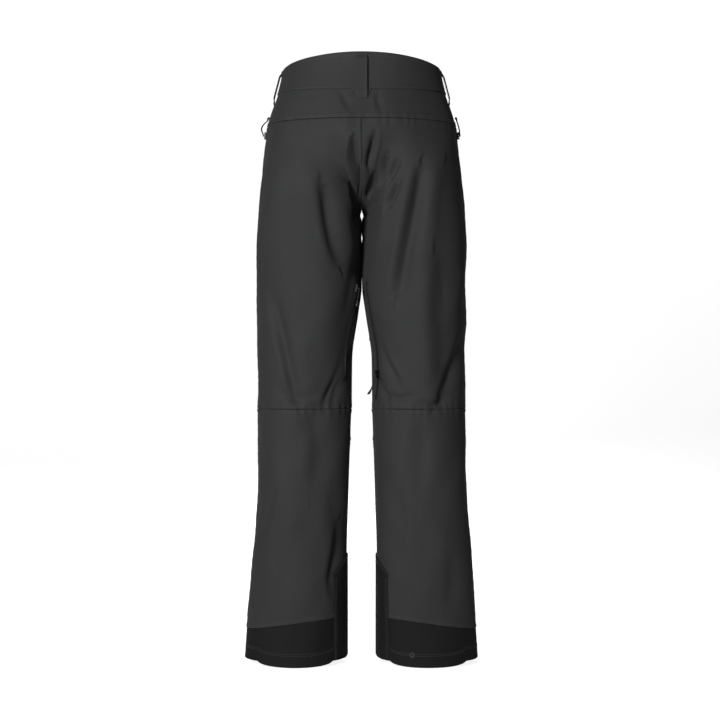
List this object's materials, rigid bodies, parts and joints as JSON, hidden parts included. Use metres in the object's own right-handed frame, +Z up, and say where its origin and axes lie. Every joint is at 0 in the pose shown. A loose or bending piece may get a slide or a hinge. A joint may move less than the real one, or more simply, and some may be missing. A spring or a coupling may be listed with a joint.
{
  "type": "ski pants",
  "caption": "Shell ski trousers with a raised back waistband, yoke, articulated knees, inner scuff guards, vents and gaiters.",
  "frame": {"origin": "midway between front and back on the centre plane, at the level of the lowest edge of the hems", "axes": "+X towards the wearer's left, +Y towards the wearer's back, +Z up"},
  "size_m": [0.4062, 0.269, 1.0509],
  "materials": {
    "shell_fabric": "matte woven laminate, charcoal",
    "trim_fabric": "tough matte woven, black",
    "lining_fabric": "smooth brushed lining",
    "mesh_fabric": "open knit",
    "zip_tape": "laminated water-resistant zip",
    "elastic": "gripper elastic",
    "moulded_plastic": "moulded, satin",
    "metal": "dark plated"
  },
  "bodies": {
    "pelvis": {"waistband_back": "shell_fabric", "waistband_left_front": "shell_fabric", "waistband_right_front": "shell_fabric", "waistband_lining": "lining_fabric", "back_yoke": "shell_fabric", "left_front_yoke": "shell_fabric", "right_front_yoke": "shell_fabric", "fly_placket": "shell_fabric", "fly_underlap": "shell_fabric", "fly_zip": "zip_tape", "centre_back_belt_loop": "shell_fabric", "left_side_belt_loop": "shell_fabric", "right_side_belt_loop": "shell_fabric", "left_front_belt_loop": "shell_fabric", "right_front_belt_loop": "shell_fabric", "hanger_loop": "lining_fabric", "snap_studs": "metal"},
    "fly_slider": {"fly_slider": "metal"},
    "fly_pull": {"fly_pull": "moulded_plastic"},
    "waist_tab": {"waist_tab": "shell_fabric", "snap_caps": "metal"},
    "left_thigh": {"left_back_upper_panel": "shell_fabric", "left_front_upper_panel": "shell_fabric", "left_knee_panel": "shell_fabric", "left_pocket_zip": "zip_tape", "left_pocket_bag": "lining_fabric", "left_vent_zip": "zip_tape", "left_vent_mesh": "mesh_fabric"},
    "left_shin": {"left_back_lower_panel": "shell_fabric", "left_front_lower_panel": "shell_fabric", "left_scuff_guard": "trim_fabric", "left_hem_band": "trim_fabric", "left_gaiter": "lining_fabric", "left_gaiter_elastic": "elastic", "left_heel_eyelet": "metal", "left_lace_hook": "metal"},
    "left_pocket_slider": {"left_pocket_slider": "metal"},
    "left_pocket_pull": {"left_pocket_pull": "moulded_plastic"},
    "left_vent_slider": {"left_vent_slider": "metal"},
    "left_vent_pull": {"left_vent_pull": "moulded_plastic"},
    "right_thigh": {"right_back_upper_panel": "shell_fabric", "right_front_upper_panel": "shell_fabric", "right_knee_panel": "shell_fabric", "right_pocket_zip": "zip_tape", "right_pocket_bag": "lining_fabric", "right_vent_zip": "zip_tape", "right_vent_mesh": "mesh_fabric"},
    "right_shin": {"right_back_lower_panel": "shell_fabric", "right_front_lower_panel": "shell_fabric", "right_scuff_guard": "trim_fabric", "right_hem_band": "trim_fabric", "right_gaiter": "lining_fabric", "right_gaiter_elastic": "elastic", "right_heel_eyelet": "metal", "right_lace_hook": "metal"},
    "right_pocket_slider": {"right_pocket_slider": "metal"},
    "right_pocket_pull": {"right_pocket_pull": "moulded_plastic"},
    "right_vent_slider": {"right_vent_slider": "metal"},
    "right_vent_pull": {"right_vent_pull": "moulded_plastic"}
  },
  "joints": [
    {"name": "left_hip", "type": "hinge", "parent": "pelvis", "child": "left_thigh", "pos_m": [0, -0.00753, 0.822], "axis": [-1, 0, 0], "range_deg": [0, 75], "stiffness_Nm_per_rad": 0.4},
    {"name": "left_knee", "type": "hinge", "parent": "left_thigh", "child": "left_shin", "pos_m": [0, -0.01553, 0.443], "axis": [1, 0, 0], "range_deg": [0, 90], "stiffness_Nm_per_rad": 0.2, "deforming": ["left_back_lower_panel"]},
    {"name": "right_hip", "type": "hinge", "parent": "pelvis", "child": "right_thigh", "pos_m": [0, -0.00753, 0.822], "axis": [-1, 0, 0], "range_deg": [0, 75], "stiffness_Nm_per_rad": 0.4},
    {"name": "right_knee", "type": "hinge", "parent": "right_thigh", "child": "right_shin", "pos_m": [0, -0.01553, 0.443], "axis": [1, 0, 0], "range_deg": [0, 90], "stiffness_Nm_per_rad": 0.2, "deforming": ["right_back_lower_panel"]},
    {"name": "fly_slider_slide", "type": "slide", "parent": "pelvis", "child": "fly_slider", "axis": [0, 0.0458, -0.9989], "range_m": [0, 0.0821]},
    {"name": "fly_pull_swing", "type": "hinge", "parent": "fly_slider", "child": "fly_pull", "pos_m": [0, -0.13279, 0.97359], "axis": [-1, 0, 0], "range_deg": [0, 160], "stiffness_Nm_per_rad": 0.002},
    {"name": "left_pocket_slider_slide", "type": "slide", "parent": "left_thigh", "child": "left_pocket_slider", "axis": [0.0785, -0.126, -0.9889], "range_m": [0, 0.1588]},
    {"name": "left_pocket_pull_swing", "type": "hinge", "parent": "left_pocket_slider", "child": "left_pocket_pull", "pos_m": [0.173, -0.02251, 0.92271], "axis": [0.1422, 0.9833, -0.114], "range_deg": [0, 170], "stiffness_Nm_per_rad": 0.002},
    {"name": "right_pocket_slider_slide", "type": "slide", "parent": "right_thigh", "child": "right_pocket_slider", "axis": [-0.0785, -0.126, -0.9889], "range_m": [0, 0.1588]},
    {"name": "right_pocket_pull_swing", "type": "hinge", "parent": "right_pocket_slider", "child": "right_pocket_pull", "pos_m": [-0.173, -0.02251, 0.92271], "axis": [0.1422, -0.9833, 0.114], "range_deg": [0, 170], "stiffness_Nm_per_rad": 0.002},
    {"name": "left_vent_slider_slide", "type": "slide", "parent": "left_thigh", "child": "left_vent_slider", "axis": [0.1345, -0.0319, -0.9904], "range_m": [0, 0.1494]},
    {"name": "left_vent_pull_swing", "type": "hinge", "parent": "left_vent_slider", "child": "left_vent_pull", "pos_m": [0.00421, 0.04398, 0.65114], "axis": [0.4316, 0.9016, 0.0295], "range_deg": [0, 8], "stiffness_Nm_per_rad": 0.002},
    {"name": "right_vent_slider_slide", "type": "slide", "parent": "right_thigh", "child": "right_vent_slider", "axis": [0.1345, 0.0319, 0.9904], "range_m": [0, 0.1494]},
    {"name": "right_vent_pull_swing", "type": "hinge", "parent": "right_vent_slider", "child": "right_vent_pull", "pos_m": [-0.0243, 0.03921, 0.50314], "axis": [0.4316, -0.9016, -0.0295], "range_deg": [0, 170], "stiffness_Nm_per_rad": 0.002},
    {"name": "waist_tab_fold", "type": "hinge", "parent": "pelvis", "child": "waist_tab", "pos_m": [0.04249, -0.11976, 1.013], "axis": [0.0013, 0.0765, 0.9971], "range_deg": [0, 110], "stiffness_Nm_per_rad": 0.02}
  ]
}
